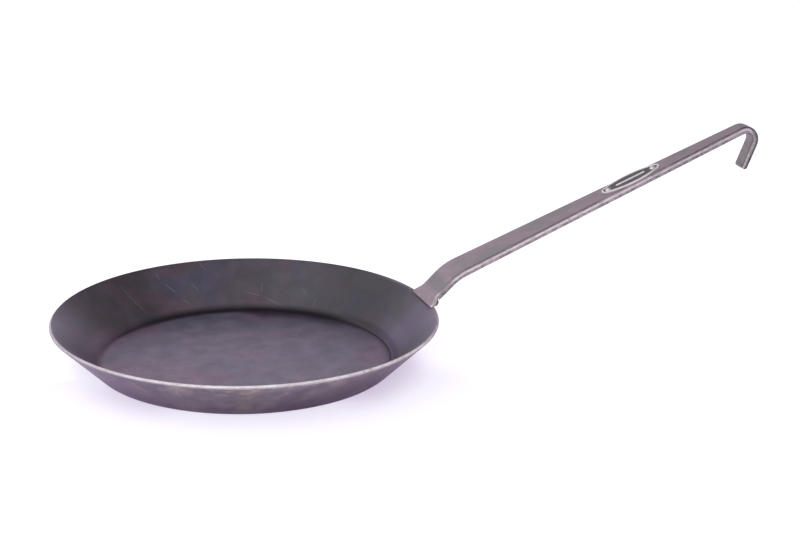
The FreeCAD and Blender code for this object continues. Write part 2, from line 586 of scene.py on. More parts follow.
@dataclass(frozen=True)
class Scratches:
    """Drawn strokes and fine hairs inside the bowl, in a sheet of one thickness."""

    sheet: float
    colour: Colour = (0.300, 0.270, 0.300)
    share: float = 0.55
    wall_hairs: Hairs = Hairs(
        math.radians(28.0), (900.0, 26.0, 1.0), Fade(0.66, 0.74),
        Patches(Clouds(18.0, 5.0), Fade(0.45, 0.65)), Fade(108.0 * MM, 112.0 * MM), 0.35,
    )
    wall_hair_stretch: float = 0.12
    floor_hairs: Hairs = Hairs(
        math.radians(38.0), (14.0, 520.0, 1.0), Fade(0.64, 0.74),
        Patches(Clouds(16.0, 9.0), Fade(0.45, 0.65)), Fade(104.0 * MM, 100.0 * MM), 0.25,
    )
    half_width: float = 0.05 * MM
    soft_width: float = 0.28 * MM
    bow: float = 4.0
    full_part: float = 0.6
    strokes: tuple[Stroke, ...] = (
        Stroke(118.5, 23.0, 31.0, 75.0), Stroke(116.9, 26.0, 15.0, 78.0, 0.4),
        Stroke(105.0, 8.5, 7.0, 76.0, 0.8), Stroke(102.1, 20.7, 12.0, 56.0),
        Stroke(97.9, 34.0, 8.0, 50.0, 0.8), Stroke(88.9, 5.1, 10.0, 62.0, 0.6),
        Stroke(93.1, 22.0, 11.0, 63.0, 0.6), Stroke(71.7, 31.3, 14.0, 14.0, 0.5),
        Stroke(64.0, 36.9, 18.0, 25.0, 0.5), Stroke(68.6, 25.6, 9.6, 91.0, 0.4),
        Stroke(52.1, 27.1, 8.0, 54.0, 0.4), Stroke(126.0, 12.0, 9.0, 70.0, 0.4),
        Stroke(214.0, 21.0, 24.0, 80.0, 0.7), Stroke(262.0, 17.0, 15.0, 62.0, 0.6),
        Stroke(301.0, 26.0, 20.0, 105.0, 0.5),
    )

    def stroke_mask(self, g: Graph, at: BowlPlace, stroke: Stroke) -> Socket:
        """One scratch as a thin soft line on the developed wall.

        Args:
            g: The material's graph.
            at: The place on the bowl.
            stroke: The scratch.

        Returns:
            The line, 0 to its weight.
        """
        azimuth = math.remainder(math.radians(stroke.azimuth), math.tau)
        across = g.product(g.minus(azimuth, at.turn), at.radius)
        below = g.minus(-stroke.down * MM - self.sheet / 2, at.run)
        lean = math.radians(stroke.lean)
        along = g.weighed((across, math.cos(lean)), (below, math.sin(lean)))
        side = g.weighed((across, -math.sin(lean)), (below, math.cos(lean)))
        bowed = g.plus(side, g.product(along, along, self.bow))
        half = stroke.length * MM / 2
        full = half * self.full_part
        return g.product(g.band(bowed, 0.0, self.half_width, self.soft_width),
                         g.band(along, 0.0, full, half - full), stroke.weight)

    def mask(self, g: Graph, at: BowlPlace) -> Socket:
        """Where the scratches lie.

        Args:
            g: The material's graph.
            at: The place on the bowl.

        Returns:
            Their share of the colour.
        """
        drawn = [self.stroke_mask(g, at, stroke) for stroke in self.strokes]
        wall = self.wall_hairs.of(g, at.unrolled(g, self.wall_hair_stretch, 1.0), at.radius)
        floor = self.floor_hairs.of(g, g.place, at.radius)
        return g.product(g.largest(*drawn, wall, floor), at.inner, self.share)


@dataclass(frozen=True)
class CreaseOilAndShade:
    """Oily deposit baked into the crease and the bend above it, drawn with painted shade in the crease that
    is heaviest in a sector about 74 degrees round from the handle, and a painted shadow along the tongue's
    end.
    """

    # Dark colour of the oily deposit, the painted crease shade and the painted shadow under the tongue.
    soot_and_shade: Colour = (0.014, 0.012, 0.015)
    edge_patches: Patches = Patches(Clouds(11.0, 4.2), Fade(0.35, 0.65, -1.0 * MM, 2.0 * MM))
    up_wall: Fade = Fade(6.0 * MM, 1.4 * MM)
    on_floor: Fade = Fade(-6.0 * MM, -0.5 * MM)
    wide_sector: Strip = sector(42.0, 24.0, 18.0)
    wide_squeeze: float = 0.26
    # Sector where the crease is darkest: painted shade with the deposit.
    baked_and_shaded_sector: Strip = sector(74.0, 32.0, 32.0)
    off_sector_share: float = 0.18
    soot_and_shade_shares: tuple[float, float] = (0.72, 0.80)
    crease: Strip = Strip(0.2 * MM, 0.4 * MM, 1.0 * MM)
    crease_soot_and_shade: float = 0.50
    crease_dull: float = 0.7
    left_crease_share: float = 0.2
    bend: Strip = Strip(2.8 * MM, 1.6 * MM, 2.4 * MM)
    bend_turns: tuple[Fade, Fade] = (Fade(0.9, 0.3), Fade(-1.6, -0.6))
    bend_dull: float = 0.38
    tongue_end: Strip = Strip(-5.4 * MM, 0.5 * MM, 0.6 * MM)
    tongue_side: Fade = Fade(0.0, 10.0 * MM)
    tongue_half: Fade = Fade(21.0 * MM, 20.0 * MM)
    tongue_share: float = 0.7

    def layers(self, g: Graph, at: BowlPlace) -> tuple[Socket, Socket, Socket]:
        """What the oily deposit and the painted crease shade leave in the crease and on the bend.

        Args:
            g: The material's graph.
            at: The place on the bowl.

        Returns:
            The deposit with its painted shade, the dull bend, and the dark colour's share, each 0 to 1.
        """
        wide = self.wide_sector.of(g, at.turn)
        off_crease = g.plus(at.from_crease, self.edge_patches.of(g))
        on_floor = self.on_floor.of(g, g.product(off_crease, g.level(wide, 1.0, self.wide_squeeze)))
        baked = g.level(self.baked_and_shaded_sector.of(g, at.turn), self.off_sector_share, 1.0)
        crust_and_shade = g.product(self.up_wall.of(g, at.from_crease), on_floor, at.inner, baked)
        crease = g.product(self.crease.of(g, at.from_crease), at.inner,
                           g.level(at.left_end, 1.0, self.left_crease_share))
        bend = g.product(self.bend.of(g, at.from_crease), at.inner,
                         *(fade.of(g, at.turn) for fade in self.bend_turns))
        dull = g.largest(g.product(crease, self.crease_dull), g.product(bend, self.bend_dull))
        sooted_and_shaded = g.product(crust_and_shade, g.level(wide, *self.soot_and_shade_shares))
        return crust_and_shade, dull, g.largest(sooted_and_shaded, g.product(crease, self.crease_soot_and_shade))

    def tongue_shadow_line(self, g: Graph, at: BowlPlace) -> Socket:
        """The painted shadow on the wall along the end of the handle's tongue.

        Args:
            g: The material's graph.
            at: The place on the bowl.

        Returns:
            The line, 0 to its share.
        """
        return g.product(self.tongue_end.of(g, at.run), self.tongue_side.of(g, at.x), at.inner,
                         self.tongue_half.of(g, g.unsigned(at.y)), self.tongue_share)


@dataclass(frozen=True)
class OuterWall:
    """The wall's outside: warm and bare patches, with painted shade that makes it darker and yellowish
    towards the base, a painted highlight near the top at the front and a painted shadow just under the rim.
    """

    plain: Colour = (0.187, 0.178, 0.171)
    right: Colour = (0.196, 0.196, 0.152)
    to_right: Fade = Fade(0.0, 80.0 * MM)
    warm: Colour = (0.225, 0.200, 0.178)
    warm_patches: Patches = Patches(Clouds(42.0, 6.6, 3.0, 0.6), Fade(0.44, 0.60))
    warm_stretch: tuple[float, float] = (0.10, 0.7)
    bare: Colour = (0.310, 0.285, 0.262)
    bare_patches: Patches = Patches(Clouds(60.0, 2.2, 3.0, 0.6), Fade(0.50, 0.62))
    bare_stretch: tuple[float, float] = (0.14, 1.1)
    bare_height: Fade = Fade(-26.0 * MM, -8.0 * MM)
    bare_share: float = 0.8
    cloud_tones: Fade = Fade(0.30, 0.70, 0.70, 1.32)
    # Painted light: lighter near the top at the front.
    front_sector: Strip = sector(-68.0, 16.0, 24.0)
    front_top: Fade = Fade(-9.0 * MM, -4.0 * MM)
    front_top_tone: float = 0.42
    # Painted shade: darker towards the base, more so at the front.
    height_tones: tuple[Fade, Fade] = (
        Fade(1.0 * MM, 27.0 * MM, 0.50, 1.0), Fade(1.0 * MM, 27.0 * MM, 0.24, 0.84),
    )
    # Painted shadow just under the rim.
    under_rim: Fade = Fade(-5.0 * MM, -2.0 * MM, 1.0, 0.90)
    # Painted shade: a dark yellowish tone towards the base on the right.
    base_shade: Colour = (0.050, 0.046, 0.004)
    base_shade_height: Fade = Fade(27.0 * MM, 5.0 * MM, 0.27, 0.42)
    base_shade_side: Fade = Fade(0.0, 50.0 * MM)

    def colour(self, g: Graph, at: BowlPlace) -> Socket:
        """The outside's colour.

        Args:
            g: The material's graph.
            at: The place on the bowl.

        Returns:
            The colour.
        """
        colour = g.blend(self.to_right.of(g, at.x), self.plain, self.right)
        colour = g.blend(self.warm_patches.of(g, at.unrolled(g, *self.warm_stretch)), colour, self.warm)
        bare = g.product(self.bare_patches.of(g, at.unrolled(g, *self.bare_stretch)),
                         self.bare_height.of(g, at.run), self.bare_share)
        colour = g.blend(bare, colour, self.bare)
        front = self.front_sector.of(g, at.turn)
        # Cloudy tone, then the painted light and shade by sector and height.
        tones = (
            self.cloud_tones.of(g, at.cloudy),
            g.plus(1.0, g.product(front, self.front_top.of(g, at.run), self.front_top_tone)),
            g.level(front, *(tone.of(g, at.z) for tone in self.height_tones)),
            self.under_rim.of(g, at.run),
        )
        for tone in tones:
            colour = g.scaled(colour, tone)
        # Painted shade towards the base on the right.
        base_shaded = g.product(self.base_shade_height.of(g, at.z), self.base_shade_side.of(g, at.x))
        return g.blend(base_shaded, colour, self.base_shade)


@dataclass(frozen=True)
class RubbedRim:
    """The rim rubbed bright: its cut edge, and a little of the wall beside it."""

    bright: Colour = (0.800, 0.740, 0.820)
    warm: Colour = (0.660, 0.590, 0.600)
    warm_patches: Patches = Patches(Clouds(90.0, 8.0, 3.0, 0.6), Fade(0.35, 0.70))
    # Painted reflection along X: darker on the left, lighter towards the right, darker again at the right
    # end.
    tones: tuple[Fade, Fade] = (
        Fade(-120.0 * MM, 60.0 * MM, 0.78, 1.20), Fade(95.0 * MM, 130.0 * MM, 1.0, 0.50),
    )
    ragged: Patches = Patches(Clouds(300.0, 0.0, 3.0, 0.65), Fade(0.3, 0.7, -1.0, 1.0))
    ragged_down: float = 0.35 * MM
    ragged_across: float = 0.12 * MM
    cut_down: Fade = Fade(-2.1 * MM, -1.3 * MM)
    cut_across: Fade = Fade(1.35 * MM, 0.60 * MM)
    inside: Fade = Fade(-0.9 * MM, -0.3 * MM)
    inside_share: float = 0.30
    inside_right: Fade = Fade(-4.0 * MM, -1.0 * MM)
    right_end: Fade = Fade(116.0 * MM, 134.0 * MM)
    inside_right_share: float = 0.34
    outside: Fade = Fade(-3.2 * MM, -0.8 * MM)
    outside_tone: Fade = Fade(70.0 * MM, 110.0 * MM, 0.85, 0.10)

    def wear(self, g: Graph, at: BowlPlace) -> Socket:
        """Where the rim is rubbed.

        Args:
            g: The material's graph.
            at: The place on the bowl.

        Returns:
            The wear, 0 to 1.
        """
        ragged = self.ragged.of(g)
        down = g.plus(at.run, g.product(ragged, self.ragged_down))
        aside = g.plus(g.unsigned(at.across), g.product(ragged, self.ragged_across))
        on_cut = g.product(self.cut_down.of(g, down), self.cut_across.of(g, aside))
        inside = g.largest(
            g.product(self.inside.of(g, down), self.inside_share),
            g.product(self.inside_right.of(g, down), self.right_end.of(g, at.x), self.inside_right_share),
        )
        outside = g.product(self.outside.of(g, down), self.outside_tone.of(g, at.x))
        return g.largest(on_cut, g.level(at.outer, inside, outside))

    def colour(self, g: Graph, at: BowlPlace) -> Socket:
        """The bare metal's colour, with painted reflection making it darker on the left, lighter towards the
        right and darker again at the right end.

        Args:
            g: The material's graph.
            at: The place on the bowl.

        Returns:
            The colour.
        """
        colour = g.blend(self.warm_patches.of(g), self.bright, self.warm)
        for tone in self.tones:
            colour = g.scaled(colour, tone.of(g, at.x))
        return colour


@dataclass(frozen=True)
class PanFinish:
    """The bowl's finish: heat scale inside with painted shade and painted reflection on its wall, an oily
    deposit with painted shade in its crease, a worn outside with painted light and shade, and a bright rim
    with painted reflection.
    """

    rim_radius: float
    rim_height: float
    wall_angle: float
    sheet: float
    crease_radius: float
    scale: SheetScale = SheetScale()
    # Oily deposit and painted shade in the crease, and the painted shadow under the tongue.
    crease_oil_and_shade: CreaseOilAndShade = CreaseOilAndShade()
    outer_wall: OuterWall = OuterWall()
    rim: RubbedRim = RubbedRim()
    clouds: Clouds = Clouds(70.0, 2.3, 4.0, 0.62)
    cloud_depth: float = 0.12 * MM
    grain: Clouds = Clouds(900.0, 0.0, 4.0, 0.6)
    grain_depth: float = 0.02 * MM
    floor_edge: Fade = Fade(106.0 * MM, 99.0 * MM)
    wall_start: Fade = Fade(101.0 * MM, 106.0 * MM)
    facing_in: Fade = Fade(0.0, 0.3)
    facing_out: Fade = Fade(0.05, -0.05)
    left_turn: Fade = Fade(math.radians(130.0), math.radians(150.0))
    edge_tint: Colour = (0.80, 0.68, 0.90)
    scale_rough: Fade = Fade(0.25, 0.75, 0.30, 0.44)
    floor_rough: float = 0.54
    floor_rough_share: float = 0.8
    soot_rough: float = 0.60
    rim_rough: float = 0.48
    coat_rough: float = 0.42
    soot_uncoated: float = 0.8
    floor_uncoated: float = 0.15

    def locate(self, g: Graph) -> BowlPlace:
        """Works out where on the bowl each point lies.

        Args:
            g: The material's graph.

        Returns:
            The place, with turns in radians from the handle and runs in metres up the wall from the rim.
        """
        x, y, z = g.split(g.place)
        radius, turn = g.length(g.joined(x, y)), g.maths(Maths.ANGLE, y, x)
        lie, rise = math.cos(self.wall_angle), math.sin(self.wall_angle)
        out, up = g.minus(radius, self.rim_radius), g.minus(z, self.rim_height)
        upward = g.split(g.facing)[2]
        return BowlPlace(
            x, y, z, radius, turn, run=g.weighed((out, lie), (up, rise)),
            across=g.weighed((out, -rise), (up, lie)),
            from_crease=g.minus(radius, self.crease_radius), inner=self.facing_in.of(g, upward),
            outer=self.facing_out.of(g, upward), on_wall=self.wall_start.of(g, radius),
            on_floor=self.floor_edge.of(g, radius), left_end=self.left_turn.of(g, g.unsigned(turn)),
            cloudy=self.clouds.of(g),
        )

    def make(self) -> bpy.types.Material:
        """Builds the material.

        Returns:
            The material.
        """
        g = Graph("pan_iron_scale")
        at = self.locate(g)
        scratches = Scratches(self.sheet)
        # The scale with its painted shade and painted reflection on the inner wall, and the scratches over
        # it.
        colour = g.blend(scratches.mask(g, at), self.scale.colour(g, at), scratches.colour)
        # The crease darkened by the oily deposit and its painted shade.
        crust_and_shade, dull, sooted_and_shaded = self.crease_oil_and_shade.layers(g, at)
        colour = g.blend(sooted_and_shaded, colour, self.crease_oil_and_shade.soot_and_shade)
        # Painted shadow on the wall along the tongue's end.
        colour = g.blend(self.crease_oil_and_shade.tongue_shadow_line(g, at), colour, self.crease_oil_and_shade.soot_and_shade)
        colour = g.blend(at.outer, colour, self.outer_wall.colour(g, at))
        rubbed = self.rim.wear(g, at)
        # The rubbed rim's colour, with its painted reflection.
        colour = g.blend(rubbed, colour, self.rim.colour(g, at))

        rough = self.scale_rough.of(g, at.cloudy)
        rough = g.level(g.product(at.on_floor, self.floor_rough_share), rough, self.floor_rough)
        rough = g.level(g.largest(crust_and_shade, dull), rough, self.soot_rough)
        uncoated = g.largest(rubbed, g.product(crust_and_shade, self.soot_uncoated), dull,
                             g.product(at.on_floor, self.floor_uncoated), at.outer)
        g.dress(
            Base_Color=colour, Metallic=1.0, Specular_Tint=self.edge_tint,
            Roughness=g.level(rubbed, rough, self.rim_rough),
            Coat_Weight=g.level(uncoated, 1.0, 0.0), Coat_Roughness=self.coat_rough,
            Normal=g.relief(self.grain.of(g), self.grain_depth, g.relief(at.cloudy, self.cloud_depth)),
        )
        return g.material


@dataclass(frozen=True)
class Bend:
    """One bend of the bar's upper face between two straight runs, in the XZ plane."""

    corner: tuple[float, float]
    slope_before: float
    slope_after: float
    radius: float
    seam: float = 0.01 * MM

    def depth(self, g: Graph, x: Socket, z: Socket) -> tuple[Socket, Socket]:
        """How deep a point lies below the bend and its two straight runs, and how far past the bend it is.

        Args:
            g: The material's graph.
            x: The point's X.
            z: The point's Z.

        Returns:
            The depth in metres, and the distance past the bend's middle.
        """
        half = (self.slope_before - self.slope_after) / 2
        middle = self.slope_before - half + math.pi / 2
        reach = self.radius / math.cos(half)
        centre_x = self.corner[0] - reach * math.cos(middle)
        centre_z = self.corner[1] - reach * math.sin(middle)
        right, up = g.minus(x, centre_x), g.minus(z, centre_z)
        straight = g.largest(*(g.weighed((right, -math.sin(slope)), (up, math.cos(slope)))
                               for slope in (self.slope_before, self.slope_after)))
        past = g.weighed((right, math.sin(middle)), (up, -math.cos(middle)))
        along = g.weighed((right, math.cos(middle)), (up, math.sin(middle)))
        inside = g.minus(g.product(along, math.tan(half)), g.unsigned(past))
        in_bend = g.ramp(inside, -self.seam, self.seam)
        return g.minus(self.radius, g.level(in_bend, straight, g.length(g.joined(right, up)))), past


@dataclass(frozen=True)
class BarPlace:
    """Where a point of the bar's surface lies, and on which of its stretches.

    Attributes:
        sideways: 0 on the upper and lower faces, 1 on the two sides.
        depth: The depth below the bar's upper, outer face.
        past_crank: The distance past the crank, towards the hook.
        on_leg: 1 on the hook's leg, past its bend.
        uneven: Small breaks in the lines along the edges, 0 to 1.
        specks: Fine dark specks, 0 to 1.
    """

    x: Socket
    z: Socket
    sideways: Socket
    depth: Socket
    past_crank: Socket
    on_side: Socket
    on_leg: Socket
    on_tongue: Socket
    uneven: Socket
    specks: Socket


@dataclass(frozen=True)
class RolledBar:
    """Grey rolled iron, with a dark line along its shoulders and a bright line on its corners, painted shade
    and a painted highlight that stand partly for sootiness and rubbed wear; its sides are drawn lighter and
    its leg darker, as painted light and shade.
    """

    bends: tuple[Bend, ...]
    plate_middle: float

    face: Colour = (0.330, 0.276, 0.313)
    pink: Colour = (0.350, 0.277, 0.322)
    cool: Colour = (0.285, 0.262, 0.278)
    # Painted light and shade: the sides drawn lighter than the upper face, the neck by the pan darker.
    neck: Colour = (0.222, 0.220, 0.222)
    side: Colour = (0.370, 0.330, 0.342)
    bright: Colour = (0.680, 0.608, 0.630)
    # Dark colour of the painted shade line along the upper edges and of the scale at the hook's tip.
    shoulder_shade_and_scale: Colour = (0.190, 0.155, 0.180)
    leg_line: Colour = (0.080, 0.068, 0.074)
    # Painted shade: the leg drawn darker.
    leg_side: Colour = (0.262, 0.248, 0.248)
    edge_tint: Colour = (0.85, 0.78, 0.88)

    side_turn: Fade = Fade(0.60, 0.95)
    leg_start: Fade = Fade(-7.0 * MM, 3.0 * MM)
    tongue_start: Fade = Fade(-16.0 * MM, -20.0 * MM)
    breaks: Clouds = Clouds(220.0, 4.4)
    speck_patches: Patches = Patches(Clouds(330.0, 9.3, 3.0, 0.65), Fade(0.44, 0.60))

    pink_patches: Patches = Patches(Clouds(34.0, 2.0), Fade(0.45, 0.62))
    cool_patches: Patches = Patches(Clouds(30.0, 5.5), Fade(0.50, 0.66))
    clouds: Clouds = Clouds(140.0, 1.2, 4.0, 0.62)
    cloud_tones: Fade = Fade(0.25, 0.75, 0.86, 1.14)
    grain: Clouds = Clouds(900.0, 0.0, 4.0, 0.6)
    # The neck: a greyer tone on the upper face and painted shade on the sides under the tongue's flare.
    neck_strip: Strip = Strip(-14.0 * MM, 2.5 * MM, 6.0 * MM)
    neck_share: float = 0.65
    neck_side: Fade = Fade(4.0 * MM, -9.0 * MM)
    neck_side_share: float = 0.95
    # Painted shade: how much of the leg's darker colour its faces and its sides get.
    leg_shares: tuple[float, float] = (0.60, 0.45)
    speck_side: float = 0.52
    speck_leg: float = 0.26
    tip: Fade = Fade(120.5 * MM, 115.0 * MM)
    tip_patches: Patches = Patches(Clouds(420.0, 6.1, 3.0, 0.6), Fade(0.42, 0.58))
    tip_share: float = 0.8

    # The dark line: painted shade along the upper edges, partly sootiness.
    line_turn: Fade = Fade(0.10, 0.30)
    line_depth: Fade = Fade(0.98 * MM, 0.68 * MM)
    line_leg_depth: float = 1.4 * MM
    line_breaks: Fade = Fade(0.30, 0.60, 0.55, 1.0)
    plate_half: float = 26.0 * MM
    plate_soft: float = 6.0 * MM
    line_by_plate: float = 0.35

    # The bright line: painted highlight on the corners, partly rubbed wear, and on the tongue's bevel.
    corner_depth: float = 1.98 * MM
    corner_leg_depth: float = 3.7 * MM
    corner_leg_narrower: float = 0.30 * MM
    corner_turn: Fade = Fade(0.20, 0.50)
    corner_width: Fade = Fade(0.96 * MM, 0.58 * MM)
    corner_specks: float = 0.45
    corner_start: Fade = Fade(-14.0 * MM, 2.0 * MM, 0.12, 1.0)
    corner_breaks: Fade = Fade(0.35, 0.65, 0.55, 1.0)
    bevel_turn: tuple[Fade, Fade] = (Fade(0.10, 0.35), Fade(0.95, 0.75))
    bevel_share: float = 0.55
    far_end: Fade = Fade(270.0 * MM, 340.0 * MM, 1.0, 0.80)
    far_turn: Fade = Fade(0.10, 0.40)

    rolled_rough: Fade = Fade(0.25, 0.75, 0.36, 0.50)
    corner_rough: float = 0.34
    grain_depth: float = 0.03 * MM
    cloud_depth: float = 0.06 * MM

    def locate(self, g: Graph) -> BarPlace:
        """Works out where on the bar each point lies.

        Args:
            g: The material's graph.

        Returns:
            The place, with the depth below the bar's upper, outer face in metres.
        """
        x, _, z = g.split(g.place)
        (crank_depth, past_crank), (hook_depth, past_hook) = (bend.depth(g, x, z) for bend in self.bends)
        sideways = g.unsigned(g.split(g.facing)[1])
        return BarPlace(
            x, z, sideways, g.maths(Maths.SMALLER, crank_depth, hook_depth), past_crank,
            on_side=self.side_turn.of(g, sideways), on_leg=self.leg_start.of(g, past_hook),
            on_tongue=self.tongue_start.of(g, past_crank), uneven=self.breaks.of(g),
            specks=self.speck_patches.of(g),
        )

    def iron_colour(self, g: Graph, at: BarPlace, cloudy: Socket) -> Socket:
        """The rolled iron of the face, the sides drawn lighter as painted light, and the neck by the pan,
        drawn darker with painted shade on its sides.

        Args:
            g: The material's graph.
            at: The place on the bar.
            cloudy: Fine clouds, 0 to 1.

        Returns:
            The colour.
        """
        colour = g.blend(self.pink_patches.of(g), self.face, self.pink)
        colour = g.blend(self.cool_patches.of(g), colour, self.cool)
        # Painted light: the sides drawn lighter.
        colour = g.blend(at.on_side, colour, self.side)
        # The darker neck, with painted shade on its sides.
        neck = g.largest(g.product(self.neck_strip.of(g, at.past_crank), self.neck_share),
                         g.product(at.on_side, self.neck_side.of(g, at.past_crank), self.neck_side_share))
        return g.scaled(g.blend(neck, colour, self.neck), self.cloud_tones.of(g, cloudy))

    def dark_line(self, g: Graph, at: BarPlace) -> Socket:
        """The dark line along the bar's upper edges, painted shade that stands partly for sootiness, fainter
        by the plate and gone on the tongue.

        Args:
            g: The material's graph.
            at: The place on the bar.

        Returns:
            The line, 0 to 1.
        """
        depth = g.minus(at.depth, g.product(at.on_leg, self.line_leg_depth))
        by_plate = g.band(at.x, self.plate_middle, self.plate_half, self.plate_soft)
        return g.product(self.line_turn.of(g, at.sideways), self.line_depth.of(g, depth),
                         self.line_breaks.of(g, at.uneven), g.level(at.on_tongue, 1.0, 0.0),
                         g.level(by_plate, 1.0, self.line_by_plate))

    def corner_wear_and_highlight(self, g: Graph, at: BarPlace) -> Socket:
        """The bright line below the dark one, a painted highlight that stands partly for rubbed wear, and the
        tongue's bevel as a painted highlight.

        Args:
            g: The material's graph.
            at: The place on the bar.

        Returns:
            The wear, 0 to 1.
        """
        below = g.minus(at.depth, g.level(at.on_leg, self.corner_depth, self.corner_leg_depth))
        aside = g.plus(g.unsigned(below), g.product(at.on_leg, self.corner_leg_narrower))
        corner = g.product(self.corner_turn.of(g, at.sideways), self.corner_width.of(g, aside),
                           g.level(g.product(at.on_leg, at.specks), 1.0, self.corner_specks),
                           self.corner_start.of(g, at.past_crank))
        bevel = g.product(at.on_tongue, *(fade.of(g, at.sideways) for fade in self.bevel_turn),
                          self.bevel_share)
        return g.largest(corner, bevel)

    def make(self) -> bpy.types.Material:
        """Builds the material.

        Returns:
            The material.
        """
        g = Graph("bar_iron_rolled")
        at = self.locate(g)
        cloudy = self.clouds.of(g)
        colour = self.iron_colour(g, at, cloudy)
        # Painted shade: the leg drawn darker.
        colour = g.blend(g.product(at.on_leg, g.level(at.on_side, *self.leg_shares)), colour, self.leg_side)
        speck_share = g.level(at.on_leg, g.product(at.on_side, self.speck_side), self.speck_leg)
        mottled = g.product(at.specks, speck_share, g.level(at.on_tongue, 1.0, 0.0))
        colour = g.blend(mottled, colour, self.leg_line)
        # Painted shade line along the upper edges, partly sootiness.
        colour = g.blend(self.dark_line(g, at), colour, g.blend(at.on_leg, self.shoulder_shade_and_scale, self.leg_line))
        scaled_tip = g.product(self.tip.of(g, at.z), at.on_leg, self.tip_patches.of(g), self.tip_share)
        colour = g.blend(scaled_tip, colour, self.shoulder_shade_and_scale)
        # Painted highlight on the corners and the tongue's bevel, partly rubbed wear.
        corner = self.corner_wear_and_highlight(g, at)
        colour = g.blend(g.product(corner, self.corner_breaks.of(g, at.uneven)), colour, self.bright)
        colour = g.scaled(colour, g.level(self.far_turn.of(g, at.sideways), 1.0, self.far_end.of(g, at.x)))
        g.dress(
            Base_Color=colour, Metallic=1.0, Specular_Tint=self.edge_tint,
            Roughness=g.level(corner, self.rolled_rough.of(g, cloudy), self.corner_rough),
            Normal=g.relief(self.grain.of(g), self.grain_depth, g.relief(cloudy, self.cloud_depth)),
        )
        return g.material


@dataclass(frozen=True)
class MottledMetal:
    """A small metal piece with a fine mottled surface."""

    name: str
    light: Colour
    dark: Colour
    rough: float = 0.4
    smoother: float = 0.05
    rougher: float = 0.08
    metallic: float = 0.9
    grain: Clouds = Clouds(700.0, 0.0, 4.0, 0.6)
    edge: Fade = Fade(0.35, 0.65)
    depth: float = 0.03 * MM

    def make(self) -> bpy.types.Material:
        """Builds the material.

        Returns:
            The material.
        """
        g = Graph(self.name)
        grain = self.grain.of(g)
        g.dress(
            Base_Color=g.blend(self.edge.of(g, grain), self.dark, self.light), Metallic=self.metallic,
            Roughness=g.level(grain, self.rough - self.smoother, self.rough + self.rougher),
            Normal=g.relief(grain, self.depth),
        )
        return g.material


@dataclass(frozen=True)
class StampedPlate:
    """A dark matted field inside a raised border that is rubbed bright."""

    middle: Vector
    slope: float
    field_height: float
    border_height: float
    dark: Colour = (0.092, 0.082, 0.094)
    dust: Colour = (0.215, 0.192, 0.215)
    bright: Colour = (0.860, 0.800, 0.840)
    dusty: Fade = Fade(0.40, 0.70)
    edge_turn: Fade = Fade(0.9, 0.5)
    top_wear: float = 0.05 * MM
    wear: Patches = Patches(Clouds(400.0, 3.0, 3.0, 0.6), Fade(0.25, 0.50, 0.8, 1.0))
    grain: Clouds = Clouds(1500.0, 0.0, 3.0, 0.6)
    metallic: tuple[float, float] = (0.9, 0.3)
    rough: tuple[float, float] = (0.55, 0.35)
    grain_depth: float = 0.08 * MM

    def make(self) -> bpy.types.Material:
        """Builds the material.

        Returns:
            The material.
        """
        g = Graph("plate_stamped")
        x, _, z = g.split(g.place)
        lie, rise = math.cos(self.slope), math.sin(self.slope)
        height = g.weighed((g.minus(x, self.middle.x), -rise), (g.minus(z, self.middle.z), lie))
        facing_x, _, facing_z = g.split(g.facing)
        edge = self.edge_turn.of(g, g.weighed((facing_x, -rise), (facing_z, lie)))
        halfway = (self.field_height + self.border_height) / 2
        on_top = g.ramp(height, halfway, self.border_height - self.top_wear)
        worn = g.product(g.largest(on_top, edge), self.wear.of(g))
        grain = self.grain.of(g)
        colour = g.blend(self.dusty.of(g, grain), self.dark, self.dust)
        g.dress(
            Base_Color=g.blend(worn, colour, self.bright), Metallic=g.level(edge, *self.metallic),
            Roughness=g.level(worn, *self.rough), Normal=g.relief(grain, self.grain_depth),
        )
        return g.material


def dress_node(node: str, material: bpy.types.Material) -> None:
    """Gives a frame node its finish.

    Args:
        node: The node's name.
        material: The finish.
    """
    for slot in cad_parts[node].material_slots:
        slot.material = material
    LOG.info("%s wears %s", node, material.name)


def add_piece(name: str, points: Sequence[Vector], faces: Sequence[Sequence[int]], slot: Slot,
              material: bpy.types.Material, replaces: str | None = None) -> bpy.types.Object:
    """Adds a smooth piece that rides the one body.

    Args:
        name: The piece's name.
        points: Its vertices, in metres.
        faces: Its faces.
        slot: The record's slot; not used.
        material: Its finish.
        replaces: The frame node that it stands for, if any.

    Returns:
        The piece.
    """
    mesh = bpy.data.meshes.new(name)
    mesh.from_pydata(points, [], faces)
    mesh.validate()
    mesh.materials.append(material)
    mesh.shade_smooth()
    piece = bpy.data.objects.new(name, mesh)
    bpy.context.scene.collection.objects.link(piece)
    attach(piece, "root")
    if replaces:
        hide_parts(replaces)
    LOG.info("%s: %d faces", name, len(faces))
    return piece


def rounded_outline(corners: Sequence[tuple[Vector, float]], step: float, bend_steps: int) -> list[Vector]:
    """Follows corners with rounded turns, with points close enough to bend smoothly.

    Args:
        corners: Each corner and its radius, 0 for the two ends.
        step: The longest straight run between points.
        bend_steps: Runs in each turn.

    Returns:
        The points.
    """
    line = [corners[0][0]]
    for (before, _), (corner, radius), (after, _) in zip(corners, corners[1:], corners[2:]):
        back, ahead = (before - corner).normalized(), (after - corner).normalized()
        half = back.angle(ahead) / 2
        reach = radius / math.tan(half)
        middle = corner + (back + ahead).normalized() * (radius / math.sin(half))
        start, end = corner + back * reach - middle, corner + ahead * reach - middle
        turn = start.angle(end)
        for number in range(bend_steps + 1):
            share = number / bend_steps
            line.append(middle + (start * math.sin((1 - share) * turn) + end * math.sin(share * turn))
                        / math.sin(turn))
    line.append(corners[-1][0])
    full = [line[0]]
    for before, after in zip(line, line[1:]):
        runs = max(1, math.ceil((after - before).length / step))
        full += [before.lerp(after, number / runs) for number in range(1, runs + 1)]
    return full


